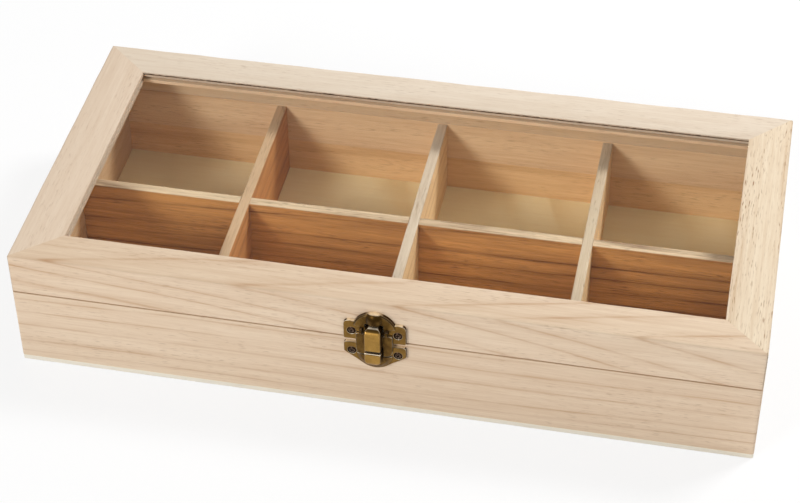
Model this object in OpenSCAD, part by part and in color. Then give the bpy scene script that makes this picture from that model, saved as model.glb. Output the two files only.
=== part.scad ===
// Tea bag box: eight compartments under a hinged lid with a glass window, closed by a brass latch.
// Millimetres. The origin is the middle of the base, on the surface that the box stands on.
// +X runs to the right, +Y to the hinges and +Z up. The latch is on the front, at -Y.

/* [Box] */
// Outside length of the box, left to right
box_w = 370; // [300:1:450]
// Outside depth of the box, front to back
box_d = 180; // [150:1:240]
// Height of the lower box with its bottom panel
base_h = 46; // [40:0.5:70]
// Thickness of the walls of the lower box
wall_t = 7.5; // [6:0.5:10]
// Thickness of the plywood bottom panel
bottom_t = 3; // [2:0.5:6]
// Radius of the softened outer corners and of the lid's top edge
corner_r = 1.4; // [0.8:0.1:3]
// Radius of the eased edges along the boards
eased_r = 0.5; // [0.2:0.1:1]

/* [Dividers] */
// Thickness of the divider boards
divider_t = 5.3; // [3:0.1:8]
// Distance of the divider tops below the rim of the box
divider_drop = 0.4; // [0.2:0.1:10]
// Middle of the long divider, measured from the middle of the box
long_divider_y = 0.8; // [-10:0.1:10]
// Distance between the middles of two cross dividers
cross_pitch = 89.4; // [60:0.1:105]
// Middle cross divider, measured from the middle of the box
cross_shift = 1.4; // [-5:0.1:5]
// Clearance each side in the halved joints
lap_gap = 0.1; // [0.05:0.05:0.3]
// Clearance between the end of a divider and the wall
divider_end_gap = 0.2; // [0.1:0.1:1]

/* [Lid] */
// Height of the lid
lid_h = 23.2; // [20:0.1:35]
// Parting gap between the box and the lid
part_gap = 0.3; // [0.2:0.1:1]
// Width of the front rail seen from above
front_rail_w = 20.4; // [16:0.1:30]
// Width of the back rail seen from above
back_rail_w = 21.4; // [16:0.1:30]
// Width of the left rail seen from above
left_rail_w = 23.8; // [16:0.1:30]
// Width of the right rail seen from above
right_rail_w = 21.3; // [16:0.1:30]
// Thickness of the rails round the window
flange_t = 7.2; // [6:0.1:10]
// Thickness of the wood above the glass
top_lip_t = 2.8; // [2:0.1:3.5]
// Thickness of the glass
glass_t = 2; // [1.5:0.1:2.5]
// Depth of the groove for the glass
groove_depth = 5; // [3:0.5:7]
// Clearance of the glass in its groove
glass_gap = 0.3; // [0.1:0.1:0.8]

/* [Latch] */
// Middle of the latch, measured from the middle of the box
latch_x = 0; // [-100:1:100]
// Width of the latch plates
plate_w = 30.6; // [26:0.1:36]
// Width of each ear of the plates, beside the tongue's flap
ear_w = 6.3; // [5.5:0.1:7]
// Thickness of the latch plates
plate_t = 1.7; // [1:0.1:2.5]
// Height of the latch pin above the lower edge of the lid
pin_rise = 8; // [7.5:0.1:10]
// Height of the lid plate's ears
lid_ear_h = 11.6; // [10:0.1:14]
// Width of the arched rim outside the flap
arch_rim_w = 1.7; // [1:0.1:2.5]
// Height of the raised dome of the lid plate
dome_t = 3.2; // [2.8:0.1:4]
// Radius of the round hood on the dome, above the tongue's knuckle
hood_r = 4.7; // [4.4:0.1:5.2]
// Radius of the latch pin
latch_pin_r = 0.8; // [0.5:0.1:1]
// Radius of the tongue's knuckle round the pin
knuckle_r = 3.9; // [3:0.1:4.5]
// Width of the tongue's hollow ridge
ridge_w = 8.3; // [6:0.1:10]
// Sheet thickness of the tongue
tongue_t = 1.1; // [0.8:0.1:1.5]
// Distance from the pin to the lower end of the ridge
ridge_len = 8.9; // [8:0.1:11]
// Distance from the pin to the lower end of the flap
flap_len = 15.8; // [13:0.1:16.5]
// Thickness of the two cheeks that hold the pin
cheek_t = 1.5; // [1:0.1:2]
// Space between the tongue's knuckle and each cheek
cheek_gap = 1.4; // [0.8:0.1:1.8]
// Distance from the rim of the box down to the catch plate
catch_drop = 1.9; // [1:0.1:4]
// Height of the catch plate
catch_plate_h = 15; // [13:0.1:18]
// Height of the catch plate's straight sides
catch_side_h = 6.2; // [4:0.1:9]
// Radius of the catch plate's round lower end
catch_end_r = 9.6; // [9:0.1:11]
// Gap between the end of the ridge and the catch
snap_gap = 2; // [0.5:0.1:2.5]
// Length of the catch, from its top to the middle of its round end
catch_len = 4.8; // [3:0.1:6]

/* [Hinges] */
// Distance of each hinge from the middle of the box
hinge_x = 112; // [60:1:150]
// Length of a hinge along its pin
hinge_w = 25; // [20:0.5:40]
// Height of a hinge leaf, from the pin
leaf_h = 9.6; // [8:0.1:14]
// Thickness of a hinge leaf
leaf_t = 0.9; // [0.6:0.1:1.2]
// Outer radius of the hinge barrel
barrel_r = 1.7; // [1.5:0.1:2.5]
// Radius of the hinge pin
hinge_pin_r = 0.8; // [0.5:0.1:1]
// Length of the stop heel, from the pin
heel_len = 3.2; // [2.6:0.1:3.3]
// Distance between the screws of a leaf
leaf_screw_pitch = 16; // [12:0.5:28]

/* [Screws and fits] */
// Radius of the screw heads
screw_head_r = 1.95; // [1.5:0.05:2.4]
// Height of the domed screw heads
screw_head_h = 0.9; // [0.6:0.1:1.2]
// Radius of the screw shanks
screw_r = 0.9; // [0.6:0.05:1.2]
// Length of the screw shanks in the wood
screw_len = 5.4; // [4:0.1:5.8]
// Distance from the side of a latch plate to its screws
screw_inset = 3.9; // [3:0.1:4.5]
// Distance from the lower edge of the lid plate up to its screws
lid_screw_rise = 5.3; // [4:0.1:7]
// Distance from the top of the catch plate down to its screws
catch_screw_drop = 5.3; // [4:0.1:6]
// Clearance round a pin in its bore
pin_gap = 0.05; // [0.02:0.01:0.08]
// Clearance between pieces that move past each other
move_gap = 0.3; // [0.3:0.05:0.5]
// Clearance round a screw shank in its pilot hole
pilot_gap = 0.05; // [0.02:0.01:0.1]

/* [Hidden] */
$fn = 64;
// Length by which a cut runs past the faces that it opens
past = 1;
lid_z = base_h + part_gap;
top_z = lid_z + lid_h;
flange_z = top_z - flange_t;
glass_z = top_z - top_lip_t - glass_gap - glass_t;
front_y = -box_d / 2;
back_y = box_d / 2;
cross_x = [for (i = [-1, 0, 1]) cross_shift + i * cross_pitch];
divider_top = base_h - divider_drop;
divider_h = divider_top - bottom_t;
half_lap_z = bottom_t + divider_h / 2;

// Latch, in the plane of the front: heights above the floor, and distances out from the wood
pin_z = lid_z + pin_rise;
flap_w = plate_w - 2 * ear_w;
arch_r = flap_w / 2 + arch_rim_w;
pin_out = knuckle_r + move_gap;
ear_z = lid_z + 0.2;
arch_z = pin_z - 0.6;
slot_top_z = pin_z + latch_pin_r + 0.7;
flap_out = plate_t + move_gap;
flap_top_z = pin_z - 2.7;
flap_low_z = pin_z - flap_len;
ridge_low_z = pin_z - ridge_len;
cheek_x = ridge_w / 2 + cheek_gap;
cheek_r = latch_pin_r + 0.5;
catch_plate_z = base_h - catch_drop;
catch_low_z = catch_plate_z - catch_plate_h;
catch_top_z = ridge_low_z - snap_gap;
catch_end_z = catch_top_z - catch_len;
lid_screw_z = ear_z + lid_screw_rise;
catch_screw_z = catch_plate_z - catch_screw_drop;
latch_screw_x = plate_w / 2 - screw_inset;
ridge_edge_r = 1.2;
plate_corner_r = 2.2;
plate_rim_t = 2.3;
knuckle_corner_r = 2.6;
catch_edge_r = 1;

// Hinges: the barrel's axis, and the three knuckles along it
hinge_y = back_y + barrel_r + move_gap;
hinge_z = base_h + part_gap / 2;
knuckle_gap = 0.2;
mid_knuckle_w = hinge_w / 3;
leaf_screw_rise = leaf_h - screw_head_r - 1.2;
heel_t = 0.9;
dimple_d = 0.5;

// ---------- shared shapes ----------

// Rectangle from (0, 0) to (w, h), its corners rounded by the radii of r:
// lower left, lower right, upper right, upper left
module soft_rect(w, h, r) {
    corners = [[0, 0], [w, 0], [w, h], [0, h]];
    inward = [[1, 1], [-1, 1], [-1, -1], [1, -1]];
    difference() {
        square([w, h]);
        for (i = [0:3]) {
            if (r[i] > 0) {
                translate(corners[i])
                    mirror([inward[i].x < 0 ? 1 : 0, 0])
                        mirror([0, inward[i].y < 0 ? 1 : 0])
                            corner_waste(r[i]);
            }
        }
    }
}

// What rounding a corner at (0, 0) takes away
module corner_waste(r) {
    difference() {
        translate([-past, -past]) square(r + past);
        translate([r, r]) circle(r);
    }
}

// The box seen from above, from z for a height of h
module plan(z, h) {
    translate([-box_w / 2, -box_d / 2, z])
        linear_extrude(h)
            soft_rect(box_w, box_d, [corner_r, corner_r, corner_r, corner_r]);
}

// A profile whose x runs inward and whose y runs up, drawn along the whole front, and so on
module along_front(len) {
    translate([0, front_y, 0]) rotate([90, 0, 90]) linear_extrude(len, center = true) children();
}

module along_back(len) {
    mirror([0, 1, 0]) along_front(len) children();
}

module along_left(len) {
    translate([-box_w / 2, 0, 0]) rotate([90, 0, 0]) linear_extrude(len, center = true) children();
}

module along_right(len) {
    mirror([1, 0, 0]) along_left(len) children();
}

// Frame of the latch: x to the right, y up from the floor, z out from the front of the box
module on_front() {
    translate([latch_x, front_y, 0]) rotate([90, 0, 0]) children();
}

// Frame of the back: x to the left, y up from the hinge axis, z out from the wood
module on_back(x) {
    translate([x, back_y, hinge_z]) rotate([90, 0, 180]) children();
}

// Screw with its head's seat at z = 0 and its point at -screw_len
module screw() {
    dome_r = (pow(screw_head_r, 2) + pow(screw_head_h, 2)) / (2 * screw_head_h);
    intersection() {
        translate([0, 0, screw_head_h - dome_r]) sphere(dome_r);
        cylinder(r = screw_head_r, h = screw_head_h);
    }
    point_h = 1.8 * screw_r;
    translate([0, 0, point_h - screw_len]) cylinder(r = screw_r, h = screw_len - point_h);
    translate([0, 0, -screw_len]) cylinder(r1 = 0, r2 = screw_r, h = point_h);
}

// Hole for a screw's shank, from a little above its seat to just past its point
module pilot() {
    translate([0, 0, -screw_len - 0.2]) cylinder(r = screw_r + pilot_gap, h = screw_len + plate_t + past);
}

// Dimple for a screw head in a plate whose face is at z = 0
module dimple() {
    translate([0, 0, -dimple_d]) cylinder(r = screw_head_r + 0.25, h = dimple_d + past);
}

module latch_lid_screw_places() {
    for (x = [-latch_screw_x, latch_screw_x]) on_front() translate([x, lid_screw_z, 0]) children();
}

module latch_catch_screw_places() {
    for (x = [-latch_screw_x, latch_screw_x]) on_front() translate([x, catch_screw_z, 0]) children();
}

// Places of the leaf screws: side is 1 on the lid and -1 on the box
module leaf_screw_places(side) {
    for (x = [-hinge_x, hinge_x]) leaf_screw_pair(x, side) children();
}

module leaf_screw_pair(x, side) {
    for (s = [-0.5, 0.5]) {
        on_back(x) translate([s * leaf_screw_pitch, side * leaf_screw_rise, 0]) children();
    }
}

// ---------- lower box ----------

// Section of a wall, with eased edges at the rim
module wall_section() {
    translate([0, bottom_t]) soft_rect(wall_t, base_h - bottom_t, [0, 0, eased_r, eased_r]);
}

module box_front() {
    color("burlywood")
    difference() {
        intersection() {
            along_front(box_w) wall_section();
            plan(bottom_t, base_h);
        }
        latch_catch_screw_places() pilot_under(plate_t);
    }
}

module box_back() {
    color("burlywood")
    difference() {
        intersection() {
            along_back(box_w) wall_section();
            plan(bottom_t, base_h);
        }
        leaf_screw_places(-1) pilot_under(leaf_t);
    }
}

module box_left() {
    color("burlywood") along_left(box_d - 2 * wall_t) wall_section();
}

module box_right() {
    color("burlywood") along_right(box_d - 2 * wall_t) wall_section();
}

// Pilot hole in the wood under a plate of thickness t, whose screw seats in a dimple
module pilot_under(t) {
    translate([0, 0, t - dimple_d]) pilot();
}

module bottom_panel() {
    color("wheat") plan(0, bottom_t);
}

// ---------- dividers, halved together ----------

module long_divider() {
    len = box_w - 2 * (wall_t + divider_end_gap);
    slot_w = divider_t + 2 * lap_gap;
    color("tan")
    difference() {
        translate([-len / 2, long_divider_y - divider_t / 2, bottom_t]) cube([len, divider_t, divider_h]);
        for (x = cross_x) {
            translate([x - slot_w / 2, long_divider_y - divider_t, half_lap_z - lap_gap])
                cube([slot_w, 2 * divider_t, divider_h]);
        }
    }
}

module cross_divider(x) {
    len = box_d - 2 * (wall_t + divider_end_gap);
    slot_w = divider_t + 2 * lap_gap;
    color("tan")
    difference() {
        translate([x - divider_t / 2, -len / 2, bottom_t]) cube([divider_t, len, divider_h]);
        translate([x - divider_t, long_divider_y - slot_w / 2, bottom_t - past])
            cube([2 * divider_t, slot_w, half_lap_z + past - bottom_t]);
    }
}

// ---------- lid ----------

// Thickness of the skirt under a rail of width w, so that inner corners meet on the mitres
function skirt(w) = wall_t * w / front_rail_w;

// Section of a rail of width w: a skirt below, and a flange with the groove for the glass
module rail_section(w) {
    difference() {
        union() {
            translate([0, lid_z]) soft_rect(skirt(w), flange_z + past - lid_z, [eased_r, eased_r, 0, 0]);
            translate([0, flange_z]) soft_rect(w, flange_t, [0, 0.3, eased_r, corner_r]);
        }
        translate([w - groove_depth, glass_z]) square([groove_depth + past, glass_t + glass_gap]);
    }
}

// Plan of the four mitred rails, cut on lines from the outer corners to the corners of the window
outer_corners = [
    [-box_w / 2, front_y], [box_w / 2, front_y], [box_w / 2, back_y], [-box_w / 2, back_y]
];
window_corners = [
    [-box_w / 2 + left_rail_w, front_y + front_rail_w],
    [box_w / 2 - right_rail_w, front_y + front_rail_w],
    [box_w / 2 - right_rail_w, back_y - back_rail_w],
    [-box_w / 2 + left_rail_w, back_y - back_rail_w]
];

// The wedge of the plan that belongs to rail i: 0 front, 1 right, 2 back, 3 left
module mitre(i) {
    j = (i + 1) % 4;
    translate([0, 0, lid_z - past])
        linear_extrude(lid_h + 2 * past)
            polygon([outer_corners[i], outer_corners[j], window_corners[j], window_corners[i]]);
}

module lid_front_rail() {
    color("burlywood")
    difference() {
        intersection() {
            along_front(box_w) rail_section(front_rail_w);
            mitre(0);
            plan(lid_z, lid_h);
        }
        latch_lid_screw_places() pilot_under(plate_t);
    }
}

module lid_right_rail() {
    color("burlywood")
    intersection() {
        along_right(box_d) rail_section(right_rail_w);
        mitre(1);
        plan(lid_z, lid_h);
    }
}

module lid_back_rail() {
    color("burlywood")
    difference() {
        intersection() {
            along_back(box_w) rail_section(back_rail_w);
            mitre(2);
            plan(lid_z, lid_h);
        }
        leaf_screw_places(1) pilot_under(leaf_t);
    }
}

module lid_left_rail() {
    color("burlywood")
    intersection() {
        along_left(box_d) rail_section(left_rail_w);
        mitre(3);
        plan(lid_z, lid_h);
    }
}

module glass_pane() {
    reach = groove_depth - glass_gap;
    low = window_corners[0] - [reach, reach];
    high = window_corners[2] + [reach, reach];
    color("lightblue", 0.4)
    translate([low.x, low.y, glass_z]) cube([high.x - low.x, high.y - low.y, glass_t]);
}

// ---------- latch ----------

// Solid turned about a line along x: a barrel of radius r and width w with round shoulders
module barrel(r, w, shoulder) {
    rotate([0, 90, 0])
        rotate_extrude()
            intersection() {
                translate([-r, -w / 2])
                    soft_rect(2 * r, w, [shoulder, shoulder, shoulder, shoulder]);
                translate([0, -w]) square([r + past, 2 * w]);
            }
}

// Bar of the ridge's section, from height z for a length of len, out to the front of the barrel
module ridge_bar(z, len, back) {
    front = pin_out + knuckle_r;
    translate([-ridge_w / 2, z + len, back])
        rotate([90, 0, 0])
            linear_extrude(len)
                soft_rect(ridge_w, front - back, [0, 0, ridge_edge_r, ridge_edge_r]);
}

// Dome of radius r whose rim is rim_t high, sloping up to a flat top of radius top_r and height h
module dome(r, rim_t, top_r, h) {
    rotate_extrude()
        polygon([[0, 0], [r, 0], [r, rim_t - 0.6], [r - 0.6, rim_t], [top_r, h], [0, h]]);
}

// Half-round hood with a ball end, just above the reach of the tongue as it swings up
module hood() {
    low_z = pin_z + knuckle_r + 2 * move_gap;
    end_z = arch_z + arch_r - hood_r + 1.1;
    intersection() {
        union() {
            translate([0, end_z, 0]) sphere(hood_r);
            translate([0, end_z, 0]) rotate([90, 0, 0]) cylinder(r = hood_r, h = 2 * hood_r);
        }
        translate([-hood_r, low_z, 0]) cube([2 * hood_r, 2 * arch_r, hood_r]);
    }
}

// Arched plate with two ears and a raised dome with its hood
module lid_plate_blank() {
    linear_extrude(plate_t)
        translate([-plate_w / 2, ear_z])
            soft_rect(plate_w, lid_ear_h, [0.6, 0.6, plate_corner_r, plate_corner_r]);
    intersection() {
        union() {
            translate([0, arch_z, 0]) dome(arch_r, plate_rim_t, hood_r, dome_t);
            hood();
        }
        translate([0, arch_z, 0]) cylinder(r = arch_r, h = 2 * hood_r);
        translate([-arch_r, slot_top_z, 0]) cube([2 * arch_r, 2 * arch_r, 2 * hood_r]);
    }
}

module latch_lid_plate() {
    gap = move_gap + 0.1;
    channel_w = ridge_w + 2 * gap;
    channel_low_z = pin_z - knuckle_r - gap;
    color("darkgoldenrod")
    on_front()
    difference() {
        union() {
            difference() {
                lid_plate_blank();
                // Channel for the tongue's knuckle, open to the wood
                translate([-channel_w / 2, channel_low_z, -past])
                    cube([channel_w, slot_top_z - channel_low_z, plate_t + 2 * past]);
                translate([-channel_w / 2, pin_z, pin_out])
                    rotate([0, 90, 0]) cylinder(r = knuckle_r + gap, h = channel_w);
            }
            // Cheeks that hold the pin
            for (s = [-1, 1]) {
                translate([s * (cheek_x + cheek_t / 2), pin_z, 0]) cheek();
            }
        }
        translate([-plate_w / 2, pin_z, pin_out])
            rotate([0, 90, 0]) cylinder(r = latch_pin_r + pin_gap, h = plate_w);
        for (x = [-latch_screw_x, latch_screw_x]) {
            translate([x, lid_screw_z, plate_t]) dimple();
            translate([x, lid_screw_z, 0]) pilot_under(plate_t);
        }
    }
}

// Cheek round the pin, centred across x, its foot on the plate
module cheek() {
    translate([-cheek_t / 2, 0, pin_out]) rotate([0, 90, 0]) cylinder(r = cheek_r, h = cheek_t);
    translate([-cheek_t / 2, -cheek_r, 0]) cube([cheek_t, 2 * cheek_r, pin_out]);
}

module latch_pin() {
    len = 2 * (cheek_x + cheek_t);
    color("darkgoldenrod")
    on_front()
    translate([-len / 2, pin_z, pin_out]) rotate([0, 90, 0]) cylinder(r = latch_pin_r, h = len);
}

module latch_tongue() {
    hollow_w = ridge_w - 2 * tongue_t;
    hollow_top_z = pin_z - latch_pin_r - 3;
    notch_w = ridge_w + 2 * move_gap;
    color("goldenrod")
    on_front()
    difference() {
        union() {
            // Knuckle and ridge in one, with round upper corners
            intersection() {
                union() {
                    translate([0, pin_z, pin_out]) barrel(knuckle_r, ridge_w, ridge_edge_r);
                    ridge_bar(ridge_low_z, ridge_len, flap_out);
                }
                linear_extrude(2 * pin_out + knuckle_r)
                    translate([-ridge_w / 2, ridge_low_z])
                        soft_rect(
                            ridge_w, pin_z + knuckle_r - ridge_low_z,
                            [0, 0, knuckle_corner_r, knuckle_corner_r]
                        );
            }
            // Flap, cut away below the ridge so that it passes either side of the catch
            translate([0, 0, flap_out])
                linear_extrude(tongue_t)
                    difference() {
                        translate([-flap_w / 2, flap_low_z])
                            soft_rect(flap_w, flap_top_z - flap_low_z, [3.5, 3.5, 0.5, 0.5]);
                        translate([-notch_w / 2, flap_low_z - past])
                            square([notch_w, ridge_low_z - flap_low_z + past]);
                    }
        }
        // The ridge is hollow behind, and closed at its lower end by the lip that snaps on the catch
        translate([-hollow_w / 2, ridge_low_z + tongue_t, flap_out - past])
            cube([hollow_w, hollow_top_z - ridge_low_z - tongue_t, pin_out + knuckle_r - flap_out]);
        translate([-hollow_w / 2, ridge_low_z - past, flap_out - past])
            cube([hollow_w, tongue_t + 2 * past, past + tongue_t + move_gap]);
        translate([-ridge_w, pin_z, pin_out])
            rotate([0, 90, 0]) cylinder(r = latch_pin_r + pin_gap, h = 2 * ridge_w);
    }
}

// Outline of the catch plate: straight sides, then a taper to a round lower end
module catch_outline() {
    end_z = catch_low_z + catch_end_r;
    side_z = catch_plate_z - catch_side_h;
    // The tapers run a little inside the round end, and so cross its outline
    inner_r = 0.985 * catch_end_r;
    run = [plate_w / 2, side_z - end_z];
    turn = atan2(run.y, run.x) - acos(inner_r / norm(run));
    foot = [inner_r * cos(turn), end_z + inner_r * sin(turn)];
    difference() {
        polygon([
            [-plate_w / 2, catch_plate_z], [-plate_w / 2, side_z], [-foot.x, foot.y],
            [foot.x, foot.y], [plate_w / 2, side_z], [plate_w / 2, catch_plate_z]
        ]);
        for (s = [0, 1]) {
            mirror([s, 0])
                translate([plate_w / 2, catch_plate_z]) rotate(180) corner_waste(1);
        }
    }
    intersection() {
        translate([0, end_z]) circle(catch_end_r);
        translate([-plate_w / 2, catch_low_z - past]) square([plate_w, side_z - catch_low_z + past]);
    }
}

module latch_catch_plate() {
    nose_w = ridge_w - 2 * tongue_t - 2 * move_gap;
    color("darkgoldenrod")
    on_front()
    difference() {
        union() {
            linear_extrude(plate_t) catch_outline();
            // Low dome that meets the lower end of the tongue's flap
            intersection() {
                translate([0, catch_low_z + catch_end_r, 0])
                    dome(catch_end_r - 0.3, plate_t + 0.3, catch_end_r - 2.8, flap_out + tongue_t);
                translate([-plate_w / 2, catch_low_z, 0])
                    cube([plate_w, flap_low_z - 1.5 * move_gap - catch_low_z, 2 * plate_t + tongue_t]);
            }
            // Catch in line with the ridge, with a round lower end
            translate([0, catch_end_z, pin_out]) barrel(knuckle_r, ridge_w, ridge_edge_r);
            intersection() {
                ridge_bar(catch_end_z, catch_len, 0);
                translate([ridge_w / 2, catch_end_z, 0])
                    rotate([0, -90, 0])
                        linear_extrude(ridge_w)
                            soft_rect(pin_out + knuckle_r, catch_len, [0, 0, catch_edge_r, 0]);
            }
            translate([-ridge_w / 2, catch_end_z - knuckle_r, 0])
                cube([ridge_w, knuckle_r + past, pin_out]);
            // Nose behind the ridge's lip, which the lip snaps past
            translate([-nose_w / 2, catch_top_z - past, 0])
                cube([nose_w, base_h - 0.1 - catch_top_z + past, flap_out + tongue_t]);
        }
        for (x = [-latch_screw_x, latch_screw_x]) {
            translate([x, catch_screw_z, plate_t]) dimple();
            translate([x, catch_screw_z, 0]) pilot_under(plate_t);
        }
    }
}

module latch_lid_screws() {
    color("saddlebrown") latch_lid_screw_places() translate([0, 0, plate_t - dimple_d]) screw();
}

module latch_catch_screws() {
    color("saddlebrown") latch_catch_screw_places() translate([0, 0, plate_t - dimple_d]) screw();
}

// ---------- hinges ----------

// Frame of a hinge: its axis along x, y out from the wood, z up
module at_hinge(x) {
    translate([x, hinge_y, hinge_z]) children();
}

module knuckle(x0, x1) {
    translate([x0, 0, 0]) rotate([0, 90, 0]) cylinder(r = barrel_r, h = x1 - x0);
}

// Leaf plate on the wood: side is 1 on the lid and -1 on the box
module leaf_plate(side) {
    wood = -(barrel_r + move_gap);
    mirror([0, 0, side > 0 ? 0 : 1])
        translate([-hinge_w / 2, wood + leaf_t, 0])
            rotate([90, 0, 0])
                linear_extrude(leaf_t)
                    soft_rect(hinge_w, leaf_h, [0, 0, 1.5, 1.5]);
}

// Cut across the leaf plate beside the axis, from x0 to x1, that clears the other leaf's knuckle
module knuckle_room(x0, x1) {
    room = barrel_r + move_gap + 0.1;
    translate([x0, -2 * room, -room]) cube([x1 - x0, 4 * room, 2 * room]);
}

module hinge_bore() {
    translate([-hinge_w, 0, 0])
        rotate([0, 90, 0]) cylinder(r = hinge_pin_r + pin_gap, h = 2 * hinge_w);
}

// Leaf on the box: the two outer knuckles
module box_leaf(x) {
    half = mid_knuckle_w / 2 + knuckle_gap;
    color("darkgoldenrod")
    difference() {
        at_hinge(x)
        difference() {
            union() {
                difference() {
                    leaf_plate(-1);
                    knuckle_room(-half, half);
                }
                knuckle(-hinge_w / 2, -half);
                knuckle(half, hinge_w / 2);
            }
            hinge_bore();
        }
        leaf_screw_pair(x, -1) leaf_screw_cut();
    }
}

// Leaf on the lid: the middle knuckle, and a heel that meets the other leaf when the lid is open
module lid_leaf(x) {
    half = mid_knuckle_w / 2;
    color("darkgoldenrod")
    difference() {
        at_hinge(x)
        difference() {
            union() {
                difference() {
                    leaf_plate(1);
                    knuckle_room(-hinge_w, -half);
                    knuckle_room(half, hinge_w);
                }
                knuckle(-half, half);
                translate([-half + 0.4, 0, -heel_t / 2]) cube([2 * half - 0.8, heel_len, heel_t]);
            }
            hinge_bore();
        }
        leaf_screw_pair(x, 1) leaf_screw_cut();
    }
}

module leaf_screw_cut() {
    translate([0, 0, leaf_t]) dimple();
    pilot_under(leaf_t);
}

module hinge_pin(x) {
    head_t = 0.6;
    color("darkgoldenrod")
    at_hinge(x)
    rotate([0, 90, 0]) {
        cylinder(r = hinge_pin_r, h = hinge_w, center = true);
        for (s = [-1, 1]) {
            translate([0, 0, s * (hinge_w + head_t) / 2])
                cylinder(r = hinge_pin_r + 0.4, h = head_t, center = true);
        }
    }
}

module hinge_box_screws() {
    color("saddlebrown") leaf_screw_places(-1) translate([0, 0, leaf_t - dimple_d]) screw();
}

module hinge_lid_screws() {
    color("saddlebrown") leaf_screw_places(1) translate([0, 0, leaf_t - dimple_d]) screw();
}

box_front();
box_back();
box_left();
box_right();
bottom_panel();
long_divider();
cross_divider(cross_x[0]);  // cross_divider_left
cross_divider(cross_x[1]);  // cross_divider_middle
cross_divider(cross_x[2]);  // cross_divider_right
lid_front_rail();
lid_back_rail();
lid_left_rail();
lid_right_rail();
glass_pane();
latch_lid_plate();
latch_lid_screws();
latch_pin();
latch_tongue();
latch_catch_plate();
latch_catch_screws();
box_leaf(-hinge_x);  // hinge_left_box_leaf
box_leaf(hinge_x);  // hinge_right_box_leaf
lid_leaf(-hinge_x);  // hinge_left_lid_leaf
lid_leaf(hinge_x);  // hinge_right_lid_leaf
hinge_pin(-hinge_x);  // hinge_left_pin
hinge_pin(hinge_x);  // hinge_right_pin
hinge_box_screws();
hinge_lid_screws();
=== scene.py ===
import math

import bmesh
import bpy
from mathutils import Matrix, Vector, noise


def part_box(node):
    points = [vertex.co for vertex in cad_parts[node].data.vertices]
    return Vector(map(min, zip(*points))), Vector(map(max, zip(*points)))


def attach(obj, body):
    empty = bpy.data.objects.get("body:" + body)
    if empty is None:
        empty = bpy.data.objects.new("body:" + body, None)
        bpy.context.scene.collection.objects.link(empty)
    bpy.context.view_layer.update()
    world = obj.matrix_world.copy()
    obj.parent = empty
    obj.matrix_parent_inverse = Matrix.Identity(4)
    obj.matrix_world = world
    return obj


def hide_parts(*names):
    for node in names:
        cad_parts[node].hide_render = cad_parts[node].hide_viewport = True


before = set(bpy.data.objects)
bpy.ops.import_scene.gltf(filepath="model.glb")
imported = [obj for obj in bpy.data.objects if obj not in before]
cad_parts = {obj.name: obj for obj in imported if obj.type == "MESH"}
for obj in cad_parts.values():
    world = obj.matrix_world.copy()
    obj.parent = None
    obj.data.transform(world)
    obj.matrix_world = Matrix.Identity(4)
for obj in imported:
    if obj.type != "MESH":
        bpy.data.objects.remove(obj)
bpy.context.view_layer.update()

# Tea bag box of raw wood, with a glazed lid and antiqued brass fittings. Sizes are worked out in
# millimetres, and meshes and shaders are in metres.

MM = 0.001


# ---------- material kit ----------

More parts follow.
